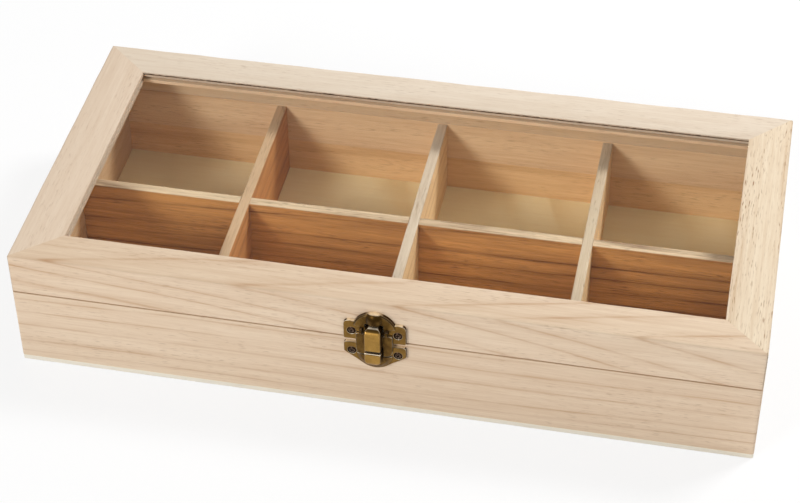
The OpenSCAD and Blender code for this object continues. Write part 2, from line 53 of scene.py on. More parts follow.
class Finish:
    """A material being made: adds shader nodes and joins them."""

    def __init__(self, name):
        self.material = bpy.data.materials.new(name)
        self.material.use_nodes = True
        self.tree = self.material.node_tree
        self.tree.nodes.clear()
        self.out = self.add("ShaderNodeOutputMaterial")
        self.shader = self.add("ShaderNodeBsdfPrincipled")
        self.join(self.shader.outputs[0], self.out.inputs["Surface"])

    def add(self, kind, **settings):
        node = self.tree.nodes.new(kind)
        for key, value in settings.items():
            setattr(node, key, value)
        return node

    def join(self, source, target):
        self.tree.links.new(source, target)

    def feed(self, value, socket):
        """Joins value to a socket if it comes from a node, and sets it there if it is plain."""
        if isinstance(value, bpy.types.NodeSocket):
            self.join(value, socket)
        else:
            socket.default_value = value

    def place(self):
        """The three Object coordinates as separate values."""
        where = self.add("ShaderNodeTexCoord")
        parts = self.add("ShaderNodeSeparateXYZ")
        self.join(where.outputs["Object"], parts.inputs[0])
        return [parts.outputs[i] for i in range(3)]

    def vector(self, x, y, z):
        node = self.add("ShaderNodeCombineXYZ")
        for value, socket in zip((x, y, z), node.inputs):
            self.feed(value, socket)
        return node.outputs[0]

    def math(self, operation, a, b=0.0, clamp=False):
        node = self.add("ShaderNodeMath", operation=operation, use_clamp=clamp)
        self.feed(a, node.inputs[0])
        self.feed(b, node.inputs[1])
        return node.outputs[0]

    def times(self, a, b):
        return self.math("MULTIPLY", a, b)

    def plus(self, a, b):
        return self.math("ADD", a, b)

    def minus(self, a, b):
        return self.math("SUBTRACT", a, b)

    def span(self, value, low, high, to_low=0.0, to_high=1.0):
        """Value stretched from low..high to to_low..to_high, and held there."""
        node = self.add("ShaderNodeMapRange", clamp=True)
        for socket, given in zip(node.inputs, (value, low, high, to_low, to_high)):
            self.feed(given, socket)
        return node.outputs[0]

    def noise(self, vector, detail, rough=0.5):
        node = self.add("ShaderNodeTexNoise")
        self.join(vector, node.inputs["Vector"])
        node.inputs["Scale"].default_value = 1.0
        node.inputs["Detail"].default_value = detail
        node.inputs["Roughness"].default_value = rough
        return node.outputs["Fac"]

    def ramp(self, value, stops):
        node = self.add("ShaderNodeValToRGB")
        elements = node.color_ramp.elements
        while len(elements) < len(stops):
            elements.new(0.5)
        for element, (at, shade) in zip(elements, stops):
            element.position = at
            element.color = (shade, shade, shade, 1.0)
        self.feed(value, node.inputs[0])
        return node.outputs[0]

    def blend(self, share, a, b, how="MIX"):
        node = self.add("ShaderNodeMix", data_type="RGBA", blend_type=how)
        self.feed(share, node.inputs["Factor"])
        for value, socket in ((a, node.inputs["A"]), (b, node.inputs["B"])):
            self.feed((*value, 1.0) if isinstance(value, tuple) else value, socket)
        return node.outputs["Result"]

    def relief(self, height, strength, distance):
        node = self.add("ShaderNodeBump")
        node.inputs["Strength"].default_value = strength
        node.inputs["Distance"].default_value = distance
        self.join(height, node.inputs["Height"])
        self.join(node.outputs[0], self.shader.inputs["Normal"])


def srgb(red, green, blue):
    """Linear colour of a shade given as it looks on screen, 0 to 255."""
    return tuple(
        c / 12.92 if c <= 0.04045 else ((c + 0.055) / 1.055) ** 2.4
        for c in (red / 255, green / 255, blue / 255)
    )


# ---------- sizes, in millimetres, from the frame ----------

def sides_of(node):
    """Low and high side of a node along x, y and z."""
    low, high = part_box(node)
    return [(round(low[i] / MM, 3), round(high[i] / MM, 3)) for i in range(3)]


def width(pair):
    return round(pair[1] - pair[0], 3)


def middle(pair):
    return (pair[0] + pair[1]) / 2


front_box, long_box = sides_of("box_front"), sides_of("long_divider")
rail_box, pane_box = sides_of("lid_front_rail"), sides_of("glass_pane")
BOX_W, BOX_D = width(front_box[0]), -2 * front_box[1][0]
BASE_H, WALL_T = front_box[2][1], width(front_box[1])
BOTTOM_T = sides_of("bottom_panel")[2][1]
LID_Z, TOP_Z = rail_box[2]
DIVIDER_T, DIVIDER_TOP, LONG_Y = width(long_box[1]), long_box[2][1], middle(long_box[1])
DIVIDER_GAP = (BOX_W - width(long_box[0])) / 2 - WALL_T
HINGE_X = middle(sides_of("hinge_right_pin")[0])
PIN_Z = middle(sides_of("latch_pin")[2])
KNUCKLE_R = sides_of("latch_tongue")[2][1] - PIN_Z
# Width of the catch, and how far its round end has its axis under the pin's
CATCH_W, CATCH_DROP = 8.3, 15.7
CATCH_LOW_Z = PIN_Z - CATCH_DROP - KNUCKLE_R
CROSS_X = [middle(sides_of(f"cross_divider_{n}")[0]) for n in ("left", "middle", "right")]
HALF_LAP_Z = BOTTOM_T + (DIVIDER_TOP - BOTTOM_T) / 2
RAIL_W = {
    "front": width(rail_box[1]), "back": width(sides_of("lid_back_rail")[1]),
    "left": width(sides_of("lid_left_rail")[0]), "right": width(sides_of("lid_right_rail")[0]),
}
GLASS_T, GLASS_GAP = width(pane_box[2]), 0.3
TOP_LIP_T = TOP_Z - pane_box[2][1] - GLASS_GAP
FLANGE_T, GROOVE_DEPTH = 7.2, 5.0
CORNER_R, EASED_R, LAP_GAP = 1.4, 0.5, 0.1
# Crack along the back of the window: the middle of its height, and how far it gapes
CRACK_Z, CRACK_H = TOP_Z - 1.15, 0.3


# ---------- wood ----------

# The axes along a board's grain, across it and up
ALONG_X, ALONG_Y = (0, 1, 2), (1, 0, 2)

# How far a zone fades either side of its edge
ZONE_BLUR = 0.1

# Tone of a year from the late wood of the one before it to its own
YEAR = [(0.0, 0.8), (0.04, 0.34), (0.25, 0.10), (0.60, 0.0), (0.88, 0.26), (0.965, 1.0), (1.0, 0.8)]


def wood(name, grain, pith, lean, ring, tones, lines, pores, mottle, zones, seed):
    """Sawn wood: growth rings round a pith line, fibres, pores and soft changes of tone.
    grain orders the axes as along, across and up; pith is the across and up place of the pith in
    metres, lean its slope on each, and ring the width of a year. Each zone is a tint and the edges
    that it lies beyond: the axis, the edge in millimetres and the way to go from it."""
    f = Finish("wood_" + name)
    place = f.place()
    along, across, up = (place[i] for i in grain)
    shifted = f.plus(along, seed)

    def drawn_out(lengthwise, crosswise, detail, rough=0.5):
        """Noise drawn out along the grain, by its scale each way."""
        where = f.vector(
            f.times(shifted, lengthwise), f.times(across, crosswise), f.times(up, crosswise)
        )
        return f.noise(where, detail, rough)

    bend, wave = drawn_out(4.0, 18.0, 2.0), drawn_out(16.0, 90.0, 2.0)
    sway = f.plus(f.times(f.minus(bend, 0.5), 0.016), f.times(f.minus(wave, 0.5), 0.0022))
    off_across = f.plus(f.minus(f.minus(across, pith[0]), f.times(along, lean[0])), sway)
    off_up = f.plus(f.minus(f.minus(up, pith[1]), f.times(along, lean[1])), sway)
    radius = f.math("SQRT", f.plus(f.times(off_across, off_across), f.times(off_up, off_up)))
    uneven = f.noise(f.vector(f.times(radius, 60.0), seed, 0.0), 1.0)
    year = f.plus(f.math("DIVIDE", radius, ring), f.times(uneven, 1.3))
    band = f.ramp(f.math("FRACT", year), YEAR)
    patch, tone = drawn_out(22.0, 140.0, 2.0), drawn_out(5.0, 26.0, 2.0)
    fibre, streak = drawn_out(45.0, 1100.0, 3.0, 0.6), drawn_out(9.0, 330.0, 3.0, 0.6)
    pore, cluster = drawn_out(170.0, 1700.0, 1.5), drawn_out(12.0, 90.0, 2.0)
    pore_mark = f.times(f.span(pore, 0.58, 0.70), f.span(cluster, 0.40, 0.62, 0.2, 1.0))

    lined = f.times(band, f.span(patch, 0.36, 0.64, 0.35, 1.0))
    shade = f.plus(
        f.times(lined, lines),
        f.plus(f.times(f.minus(streak, 0.5), 1.1 * mottle), f.times(f.minus(tone, 0.5), 0.8 * mottle)),
    )
    shade = f.plus(shade, f.times(f.minus(fibre, 0.5), 0.3 + 0.6 * mottle))
    pale, deep = tones
    colour = f.blend(f.math("ADD", shade, 0.12, clamp=True), pale, deep)
    dark = tuple(c * k for c, k in zip(deep, (0.56, 0.44, 0.34)))
    colour = f.blend(f.times(pore_mark, pores), colour, dark)
    for tint, *edges in zones:
        share = 1.0
        for axis, edge, way in edges:
            beyond = f.times(f.minus(place[axis], edge * MM), way)
            share = f.times(f.span(beyond, -ZONE_BLUR * MM, ZONE_BLUR * MM), share)
        colour = f.blend(share, colour, tint, "MULTIPLY")
    f.join(colour, f.shader.inputs["Base Color"])
    f.join(f.span(fibre, 0.3, 0.7, 0.56, 0.74), f.shader.inputs["Roughness"])
    f.shader.inputs["IOR"].default_value = 1.42
    f.relief(f.minus(f.times(fibre, 0.35), f.times(pore_mark, 0.9)), 0.35, 0.00022)
    return f.material


# Pale and deep tone of each kind of board
FRONT = srgb(232, 210, 184), srgb(192, 153, 116)
SIDE = srgb(229, 208, 182), srgb(189, 151, 114)
BACK_RAIL = srgb(222, 207, 187), srgb(184, 152, 119)
LEFT_RAIL = srgb(222, 202, 179), srgb(183, 147, 112)
RIGHT_RAIL = srgb(227, 209, 182), srgb(184, 146, 104)
TAN = srgb(243, 212, 164), srgb(196, 152, 100)
# AMBER and BROWN, for the dividers, are deepened and warmed as painted shade inside the box
AMBER = srgb(199, 139, 80), srgb(133, 75, 32)
BROWN = srgb(208, 150, 84), srgb(112, 62, 24)
PLY = srgb(253, 241, 198), srgb(240, 219, 164)

# Zones. The inner faces of the walls are painted browner than the outside, as painted shade inside the box,
# the back wall more so low down, and the dividers' tops are another tone than their sides, whose deep
# tones are partly painted shade
INNER_Y, INNER_X = BOX_D / 2 - WALL_T + 0.3, BOX_W / 2 - WALL_T + 0.3
FLANGE_Z, WINDOW_Y = TOP_Z - FLANGE_T, BOX_D / 2 - RAIL_W["back"]
INNER_BACK = ((1.06, 0.94, 0.74), (1, INNER_Y, -1))
LOW_BACK = ((1.02, 0.96, 0.82), (1, INNER_Y, -1), (2, 0.5 * BASE_H, -1))
INNER_FRONT = ((1.0, 0.92, 0.76), (1, -INNER_Y, 1))
INNER_LEFT = ((0.91, 0.78, 0.60), (0, -INNER_X, 1))
INNER_RIGHT = ((0.91, 0.78, 0.60), (0, INNER_X, -1))
# Painted shade on the inner face of the back rail's skirt
SKIRT_BACK = ((1.0, 0.88, 0.70), (1, INNER_Y + 0.4, -1), (2, FLANGE_Z - 0.2, -1))
# Painted light in the groove under the back rail's lip
GROOVE_LIGHT_BACK = ((1.3, 1.16, 1.0), (1, WINDOW_Y + 3, -1), (2, TOP_Z - TOP_LIP_T, -1), (2, FLANGE_Z, 1))
# Painted shade in the crack under the back rail's lip
CRACK_SHADE_BACK = (
    (0.22, 0.15, 0.10), (1, WINDOW_Y + 1.3, -1), (2, CRACK_Z + CRACK_H, -1), (2, CRACK_Z - CRACK_H, 1)
)
RAIL_TOP = ((0.89, 0.87, 0.84), (2, TOP_Z - 0.6, 1))
# Painted shade in the seam between lid and box along the front
SEAM_SHADE_BOX = ((0.68, 0.60, 0.52), (1, -BOX_D / 2 + 0.6, -1), (2, BASE_H - 0.35, 1))
SEAM_SHADE_LID = ((0.68, 0.60, 0.52), (1, -BOX_D / 2 + 0.6, -1), (2, LID_Z + 0.35, -1))
PLY_EDGE = ((0.90, 0.95, 1.30), (2, BOTTOM_T - 0.2, -1))
TOP_EDGE = (2, DIVIDER_TOP - 0.35, 1)

# Each board: its grain, pith, lean and year, its tones, then how strong the year lines, the pores
# and the uneven tone are, and its zones
BOARDS = {
    "box_front": (
        ALONG_X, (-0.02, -0.16), (0.0, 0.012), 0.0085, FRONT, 0.62, 0.35, 0.5, [INNER_FRONT, SEAM_SHADE_BOX]
    ),
    "box_back": (
        ALONG_X, (0.30, -0.09), (0.0, 0.01), 0.0105, SIDE, 0.45, 0.4, 0.7, [INNER_BACK, LOW_BACK]
    ),
    "box_left": (ALONG_Y, (-0.32, -0.05), (0.02, 0.0), 0.010, SIDE, 0.4, 0.5, 0.5, [INNER_LEFT]),
    "box_right": (ALONG_Y, (0.10, -0.14), (0.01, 0.01), 0.009, SIDE, 0.4, 0.5, 0.5, [INNER_RIGHT]),
    "bottom_panel": (ALONG_X, (0.02, -0.55), (0.0, 0.01), 0.012, PLY, 0.2, 0.1, 0.4, [PLY_EDGE]),
    "long_divider": (
        ALONG_X, (0.03, -0.06), (0.0, 0.02), 0.0085, BROWN, 0.72, 0.7, 1.0,
        [((1.22, 1.90, 4.1), TOP_EDGE)],
    ),
    "cross_divider_left": (
        ALONG_Y, (0.02, -0.05), (0.0, 0.03), 0.006, AMBER, 0.7, 0.6, 0.8,
        [((1.07, 1.58, 2.9), TOP_EDGE)],
    ),
    "cross_divider_middle": (
        ALONG_Y, (0.06, -0.10), (0.0, 0.02), 0.008, TAN, 0.7, 0.5, 0.8,
        [((0.80, 0.91, 1.22), TOP_EDGE)],
    ),
    "cross_divider_right": (
        ALONG_Y, (0.14, -0.09), (0.0, 0.02), 0.008, TAN, 0.7, 0.5, 0.8,
        [((0.71, 0.77, 0.94), TOP_EDGE)],
    ),
    "lid_front_rail": (
        ALONG_X, (-0.02, -0.03), (0.2, 0.0), 0.0075, FRONT, 0.7, 0.35, 0.5, [RAIL_TOP, SEAM_SHADE_LID]
    ),
    "lid_back_rail": (
        ALONG_X, (0.10, 0.30), (0.02, 0.0), 0.011, BACK_RAIL, 0.3, 0.3, 0.3,
        [SKIRT_BACK, GROOVE_LIGHT_BACK, CRACK_SHADE_BACK],
    ),
    "lid_left_rail": (ALONG_Y, (-0.14, 0.40), (0.05, 0.0), 0.012, LEFT_RAIL, 0.3, 0.25, 0.3, []),
    "lid_right_rail": (ALONG_Y, (0.22, 0.13), (0.01, 0.0), 0.010, RIGHT_RAIL, 0.4, 0.9, 0.7, []),
}
WOODS = {name: wood(name, *row, 1.37 * i) for i, (name, row) in enumerate(BOARDS.items())}


# ---------- metal and glass ----------

def brass(name, dull, bright, highlight_and_wear, grime_and_shade, shade_middle_parts=True, highlight_from=None):
    """Antiqued metal: grime in its hollows, a dull skin, bright metal where fingers polish it, and a light
    tone along the edges that is partly wear and partly painted highlight, more on what faces up. Slopes that
    face up and flanks get painted shade, standing for dark reflections and shadow. Where asked, what stands a
    little proud of the plates gets painted shade and little highlight. With a threshold, what stands proudest
    has a painted highlight where it faces up by that or more, above a band of painted dark reflection. The
    attribute named edge says how sharply the metal turns: above nought out, below nought in."""
    f = Finish(name)
    painted_shade_tone = tuple(0.35 * c for c in dull)
    x, y, z = f.place()

    def speckle(scale):
        return f.noise(f.vector(f.times(x, scale), f.times(y, scale), f.times(z, scale)), 3.0, 0.6)

    cloud, grain = speckle(300.0), speckle(1900.0)
    turn = f.add("ShaderNodeAttribute", attribute_name="edge").outputs["Fac"]
    facing = f.add("ShaderNodeSeparateXYZ")
    f.join(f.add("ShaderNodeTexCoord").outputs["Normal"], facing.inputs[0])
    aside, upward = facing.outputs[0], facing.outputs[2]
    hollow = f.add("ShaderNodeAmbientOcclusion", samples=8, only_local=True)
    hollow.inputs["Distance"].default_value = 0.003
    open_share = f.span(hollow.outputs["AO"], 0.35, 0.85)

    def proud(low, high, to_low=0.0, to_high=1.0):
        """Share that follows how far the metal stands off the wood, from low to high in millimetres."""
        off_wood = f.minus(f.math("ABSOLUTE", y), BOX_D / 2 * MM)
        return f.span(off_wood, low * MM, high * MM, to_low, to_high)

    # The plates' faces are dull, what stands a little proud of them is duller, and the parts that
    # fingers reach are polished
    polish = f.plus(proud(1.8, 2.8, 0.26, 0.08), proud(5.2, 7.8, 0.0, 0.48))
    polish = f.plus(polish, f.times(f.minus(cloud, 0.5), 0.5))
    polish = f.plus(polish, f.times(f.minus(grain, 0.5), 0.3))
    # Wear on the edges, partly painted highlight as it grows where they face up, and a painted highlight on
    # what faces up
    edge_wear_and_highlight = f.times(f.span(turn, 0.5, 2.4), f.span(upward, -0.2, 0.7, 0.2, 1.0))
    top_highlight = f.span(upward, 0.90, 0.985)
    slope_shade = f.span(upward, 0.05, 0.34)
    # On the proudest parts, a painted highlight where they face up and a painted dark reflection in the band
    # below it
    if highlight_from:
        proudest = proud(5.8, 6.6)
        crown_highlight = f.span(upward, highlight_from, highlight_from + 0.06)
        top_highlight = f.math("MAXIMUM", top_highlight, f.times(proudest, crown_highlight))
        band = f.span(upward, highlight_from - 0.34, highlight_from - 0.22)
        slope_shade = f.plus(f.times(f.minus(1.0, proudest), slope_shade), f.times(proudest, band))
    wear_and_highlight = f.math("MAXIMUM", edge_wear_and_highlight, top_highlight)
    # Painted shade on what stands a little proud of the plates, which also keeps little of the painted
    # highlight
    if shade_middle_parts:
        middle_shade = f.times(proud(2.2, 3.1), proud(5.6, 6.2, 1.0, 0.0))
        wear_and_highlight = f.times(wear_and_highlight, f.span(middle_shade, 0.0, 1.0, 1.0, 0.12))
        dull = f.blend(f.times(middle_shade, proud(3.1, 3.6, 0.0, 0.55)), dull, grime_and_shade)
    skin = f.blend(f.math("ADD", polish, 0.0, clamp=True), dull, bright)
    skin = f.blend(f.times(wear_and_highlight, f.span(cloud, 0.3, 0.6, 0.75, 1.0)), skin, highlight_and_wear)
    # Painted shade on the slopes that face up, standing for dark reflections, and on the flanks, standing for
    # the shadow beside them
    slope_shade = f.times(slope_shade, f.minus(1.0, top_highlight))
    flank_shade = f.span(f.math("ABSOLUTE", aside), 0.55, 0.9)
    painted_shade = f.times(f.math("MAXIMUM", slope_shade, flank_shade), f.minus(1.0, f.times(wear_and_highlight, 0.8)))
    skin = f.blend(f.times(painted_shade, 0.85), skin, painted_shade_tone)
    dirt = f.math("MAXIMUM", f.minus(1.0, open_share), f.span(turn, -0.4, -1.6))
    f.join(f.blend(f.times(dirt, 0.92), skin, grime_and_shade), f.shader.inputs["Base Color"])
    f.shader.inputs["Metallic"].default_value = 1.0
    f.join(f.plus(f.span(polish, 0.0, 1.0, 0.40, 0.24), f.times(dirt, 0.2)), f.shader.inputs["Roughness"])
    f.relief(grain, 0.18, 0.00006)
    return f.material


def glass():
    f = Finish("window_glass")
    f.shader.inputs["Base Color"].default_value = (0.985, 0.995, 0.99, 1.0)
    f.shader.inputs["Transmission Weight"].default_value = 1.0
    f.shader.inputs["IOR"].default_value = 1.15
    f.shader.inputs["Roughness"].default_value = 0.0
    # Light from the lamps and light thrown back by the wood pass the pane straight
    clear = f.add("ShaderNodeBsdfTransparent")
    path = f.add("ShaderNodeLightPath")
    shown = f.shader.outputs[0]
    for ray in ("Is Shadow Ray", "Is Diffuse Ray"):
        either = f.add("ShaderNodeMixShader")
        f.join(path.outputs[ray], either.inputs[0])
        f.join(shown, either.inputs[1])
        f.join(clear.outputs[0], either.inputs[2])
        shown = either.outputs[0]
    f.join(shown, f.out.inputs["Surface"])
    return f.material


# Tones: dull, bright, a light tone for worn edges and painted highlight, and grime for hollows and painted
# shade
BRASS_TONES = srgb(82, 58, 25), srgb(196, 152, 78), srgb(255, 245, 222), srgb(30, 16, 5)
BRASS = brass("antique_brass", *BRASS_TONES)
CATCH = brass("catch_brass", *BRASS_TONES, highlight_from=0.72)
TONGUE = brass("tongue_brass", *BRASS_TONES, shade_middle_parts=False, highlight_from=0.93)
# The pin is dark, partly as an oxidised pin and partly as painted shade in its slot
AGED_AND_SHADED = brass("aged_shaded_pin", srgb(46, 32, 14), srgb(96, 72, 38), srgb(150, 120, 76), srgb(18, 10, 4))
DARK = brass(
    "dark_screws", srgb(52, 36, 27), srgb(150, 116, 92), srgb(208, 180, 156), srgb(10, 5, 3), shade_middle_parts=False
)
GLASS = glass()


# ---------- mesh kit ----------

def mesh_of(name, rows, sharp=40.0):
    """Skin over rows of points in millimetres, closed round and capped at both ends."""
    shape = bmesh.new()
    grid = [[shape.verts.new([c * MM for c in point]) for point in row] for row in rows]
    count = len(grid[0])
    for low, high in zip(grid, grid[1:]):
        for i in range(count):
            j = (i + 1) % count
            shape.faces.new((low[i], low[j], high[j], high[i]))
    shape.faces.new(grid[0][::-1])
    shape.faces.new(grid[-1])
    bmesh.ops.remove_doubles(shape, verts=shape.verts, dist=1e-6)
    bmesh.ops.recalc_face_normals(shape, faces=shape.faces)
    mesh = bpy.data.meshes.new(name)
    shape.to_mesh(mesh)
    shape.free()
    finish_mesh(mesh, sharp)
    return mesh


def finish_mesh(mesh, sharp):
    """Shades a mesh smooth, apart from edges that turn by more than sharp degrees."""
    mesh.shade_smooth()
    mesh.set_sharp_from_angle(angle=math.radians(sharp))


def add_piece(name, mesh, material, slot, body, *nodes):
    """A finished piece that stands for the nodes and moves with their body."""
    piece = bpy.data.objects.new(name, mesh)
    bpy.context.collection.objects.link(piece)
    mesh.materials.clear()
    mesh.materials.append(material)
    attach(piece, body)
    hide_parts(*nodes)


def wander(*where):
    """Smooth chance value from -1 to 1 at a place, the same on each run."""
    return max(-1.0, min(1.0, 1.6 * noise.noise(Vector(where))))


# ---------- boards ----------

# Faces round the quarter turn of a corner
ARC_STEPS = 4


def rounded(corners, t):
    """Section at t along a board, with its corners rounded. A corner is its place inward and up, its
    radius, and how deep its edge is torn; radii and tears wander along the board."""
    points = []
    for i, (u, v, radius, torn) in enumerate(corners):
        here = Vector((u, v))
        to_last = (Vector(corners[i - 1][:2]) - here).normalized()
        to_next = (Vector(corners[(i + 1) % len(corners)][:2]) - here).normalized()
        if torn:
            rough = 0.5 + 0.5 * wander(t * 0.35, i, u) + 0.5 * wander(t * 1.3, i, v)
            here.y += torn * max(0.0, rough)
            here.x -= 0.5 * torn * max(0.0, wander(t * 0.9, i, 7.0))
        if radius == 0.0:
            points.append(here)
            continue
        radius *= 1.0 + 0.35 * wander(t * 0.045, i * 3.1, u)
        centre = here + radius * (to_last + to_next)
        for k in range(ARC_STEPS + 1):
            turn = math.radians(90.0 * k / ARC_STEPS)
            points.append(centre - radius * (to_next * math.cos(turn) + to_last * math.sin(turn)))
    return points


def stations(half, step):
    """Places along a board, closer together at its ends."""
    near = [0.0, 0.08, 0.2, 0.36, 0.56, 0.8, 1.08, 1.4, 2.0]
    count = max(2, round((2 * half - 2 * near[-1]) / step))
    between = [near[-1] - half + i * (2 * half - 2 * near[-1]) / count for i in range(1, count)]
    return [d - half for d in near] + between + [half - d for d in near[::-1]]


def set_in(u, t, half, radius):
    """u moved inward as far as the rounded upright corner at the end of a board asks."""
    reach = radius - (half - abs(t))
    if reach <= 0.0:
        return u
    return max(u, radius - math.sqrt(max(0.0, radius * radius - min(reach, radius) ** 2)))


# Each side of the box: the place of a point that is t along it, u inward and v up
SIDES = {
    "front": lambda t, u, v: (t, u - BOX_D / 2, v),
    "back": lambda t, u, v: (-t, BOX_D / 2 - u, v),
    "left": lambda t, u, v: (u - BOX_W / 2, -t, v),
    "right": lambda t, u, v: (BOX_W / 2 - u, t, v),
}
HALF = {"front": BOX_W / 2, "back": BOX_W / 2, "left": BOX_D / 2, "right": BOX_D / 2}


def wall_board(side, half, corner_r):
    """Board of the lower box, its rim eased and its outer upright corners rounded."""
    corners = [
        (0.0, BOTTOM_T, 0.0, 0.0), (WALL_T, BOTTOM_T, 0.0, 0.0),
        (WALL_T, BASE_H, EASED_R, 0.0), (0.0, BASE_H, EASED_R, 0.0),
    ]
    rows = []
    for t in stations(half, 2.5):
        rows.append([SIDES[side](t, set_in(u, t, half, corner_r), v) for u, v in rounded(corners, t)])
    return rows


# Neighbours of each rail: the one at the start of its run and the one at its end
NEIGHBOURS = {
    "front": ("left", "right"), "right": ("front", "back"),
    "back": ("right", "left"), "left": ("back", "front"),
}


def lid_rail(side, torn, split):
    """Mitred rail of the lid: a skirt below, and a flange with the groove for the glass. A crack of
    the depth of split runs along the window, just under the top."""
    w, half = RAIL_W[side], HALF[side]
    skirt = WALL_T * w / RAIL_W["front"]
    flange_z, lip_z = TOP_Z - FLANGE_T, TOP_Z - TOP_LIP_T
    glass_z = lip_z - GLASS_GAP - GLASS_T
    corners = [
        (0.0, LID_Z, EASED_R, 0.0), (skirt, LID_Z, EASED_R, 0.0), (skirt, flange_z, 0.0, 0.0),
        (w, flange_z, 0.3, 0.0), (w, glass_z, 0.0, 0.0), (w - GROOVE_DEPTH, glass_z, 0.0, 0.0),
        (w - GROOVE_DEPTH, lip_z, 0.0, 0.0), (w, lip_z, 0.0, torn),
    ]
    if split:
        low_z, high_z = CRACK_Z - CRACK_H / 2, CRACK_Z + CRACK_H / 2
        corners += [
            (w, low_z - 0.05, 0.0, split * 0.5), (w - split, low_z, 0.0, 0.0),
            (w - split, high_z, 0.0, 0.0), (w, high_z + 0.05, 0.0, split * 0.3),
        ]
    corners += [(w, TOP_Z, 0.4, 0.0), (0.0, TOP_Z, CORNER_R, 0.0)]
    cut = [RAIL_W[n] / w for n in NEIGHBOURS[side]]
    rows = []
    for t in stations(half, 1.0):
        row = []
        for u, v in rounded(corners, t):
            end = half - u * (cut[0] if t < 0 else cut[1])
            along = t * end / half
            for _ in range(3):
                inward = set_in(u, along, half, CORNER_R)
                limit = half - inward * (cut[0] if along < 0 else cut[1])
                along = max(-limit, min(limit, along))
            row.append(SIDES[side](along, inward, v))
        rows.append(row)
    return rows


def divider(length, slots, slot_z, from_top, place):
    """Divider board with the slots of its halved joints, which reach slot_z from its top or bottom."""
    half, eased_r = length / 2, 0.45
    corners = [
        (0.0, BOTTOM_T, 0.0, 0.0), (DIVIDER_T, BOTTOM_T, 0.0, 0.0), (DIVIDER_T, slot_z, 0.0, 0.0),
        (DIVIDER_T, DIVIDER_TOP, eased_r, 0.0), (0.0, DIVIDER_TOP, eased_r, 0.0),
        (0.0, slot_z, 0.0, 0.0),
    ]
    slot_w = DIVIDER_T + 2 * LAP_GAP
    marks = [(t, False) for t in stations(half, 2.5)]
    for slot in slots:
        near, far = slot - slot_w / 2, slot + slot_w / 2
        marks = [m for m in marks if not near - 0.3 < m[0] < far + 0.3]
        marks += [(near, False), (near + 1e-5, True), (far - 1e-5, True), (far, False)]
    rows = []
    for t, slotted in sorted(marks):
        row = []
        for u, v in rounded(corners, t):
            if slotted:
                v = min(v, slot_z) if from_top else max(v, slot_z)
            row.append(place(round(t, 4), u, v))
        rows.append(row)
    return rows


def bottom_sheet():
    """Plywood bottom: three plies, the middle one a little back, with a slightly uneven edge."""
    rows = []
    ply = BOTTOM_T / 3
    levels = [(0.0, 0.25), (0.12, 0.05)]
    for seam, under, over in ((ply, 0.05, 0.12), (2 * ply, 0.12, 0.05)):
        levels += [(seam - 0.08, under), (seam, 0.2), (seam + 0.08, over)]
    levels += [(BOTTOM_T - 0.1, 0.05), (BOTTOM_T, 0.15)]
    for z, inset in levels:
        row = []
        for side in ("front", "right", "back", "left"):
            half = HALF[side]
            for t in stations(half, 4.0)[:-1]:
                rough = inset + 0.12 * (0.5 + 0.5 * wander(t * 0.11, half, z * 2.0))
                u = set_in(0.0, t, half, CORNER_R)
                # Past the middle of the rounded corner the next side takes over
                if half - abs(t) < CORNER_R * (1.0 - math.sqrt(0.5)):
                    continue
                row.append(SIDES[side](t, u + rough, z))
        rows.append(row)
    return rows


def add_board(name, kind, rows, slot, body):
    piece = f"{name}_{kind}"
    add_piece(piece, mesh_of(piece, rows), WOODS[name], slot, body, name)


def make_walls():
    """Front and back run the full length, and the side walls stand between them."""
    side_half = BOX_D / 2 - WALL_T
    for side, half, corner_r in (
        ("front", BOX_W / 2, CORNER_R), ("back", BOX_W / 2, CORNER_R),
        ("left", side_half, 0.0), ("right", side_half, 0.0),
    ):
        add_board(f"box_{side}", "board", wall_board(side, half, corner_r), "raw_wood", "box")


def make_lid_rails():
    """Each rail with how deep its window's edge is torn and cracked."""
    for side, torn, split in (
        ("front", 0.12, 0.0), ("back", 0.2, 1.1), ("left", 0.45, 0.0), ("right", 0.15, 0.0)
    ):
        add_board(f"lid_{side}_rail", "board", lid_rail(side, torn, split), "raw_wood", "lid")


def make_dividers():
    """The long divider is slotted from its top, and the cross dividers over it from below."""
    inner_w, inner_d = (size - 2 * (WALL_T + DIVIDER_GAP) for size in (BOX_W, BOX_D))
    y0 = LONG_Y - DIVIDER_T / 2
    rows = divider(inner_w, CROSS_X, HALF_LAP_Z - LAP_GAP, True, lambda t, u, v: (t, y0 + u, v))
    add_board("long_divider", "board", rows, "divider_wood", "box")
    for where, x in zip(("left", "middle", "right"), CROSS_X):
        x0 = x - DIVIDER_T / 2
        rows = divider(inner_d, [LONG_Y], HALF_LAP_Z, False, lambda t, u, v: (x0 + u, t, v))
        add_board(f"cross_divider_{where}", "board", rows, "divider_wood", "box")


def make_bottom():
    add_board("bottom_panel", "sheet", bottom_sheet(), "plywood", "box")


# ---------- metal ----------

def mark_edges(mesh):
    """Stores at each vertex how sharply the surface turns there, per millimetre."""
    shape = bmesh.new()
    shape.from_mesh(mesh)
    turns = []
    for vert in shape.verts:
        steps = [vert.co - edge.other_vert(vert).co for edge in vert.link_edges]
        turns.append(sum(2 * MM * step.dot(vert.normal) / step.length_squared for step in steps) / len(steps))
    near = [[v.index] + [e.other_vert(v).index for e in v.link_edges] for v in shape.verts]
    for _ in range(2):
        turns = [sum(turns[i] for i in group) / len(group) for group in near]
    shape.free()
    mesh.attributes.new("edge", "FLOAT", "POINT").data.foreach_set("value", turns)


def eased(value):
    """Value held between 0 and 1, and eased at both."""
    value = max(0.0, min(1.0, value))
    return value * value * (3.0 - 2.0 * value)


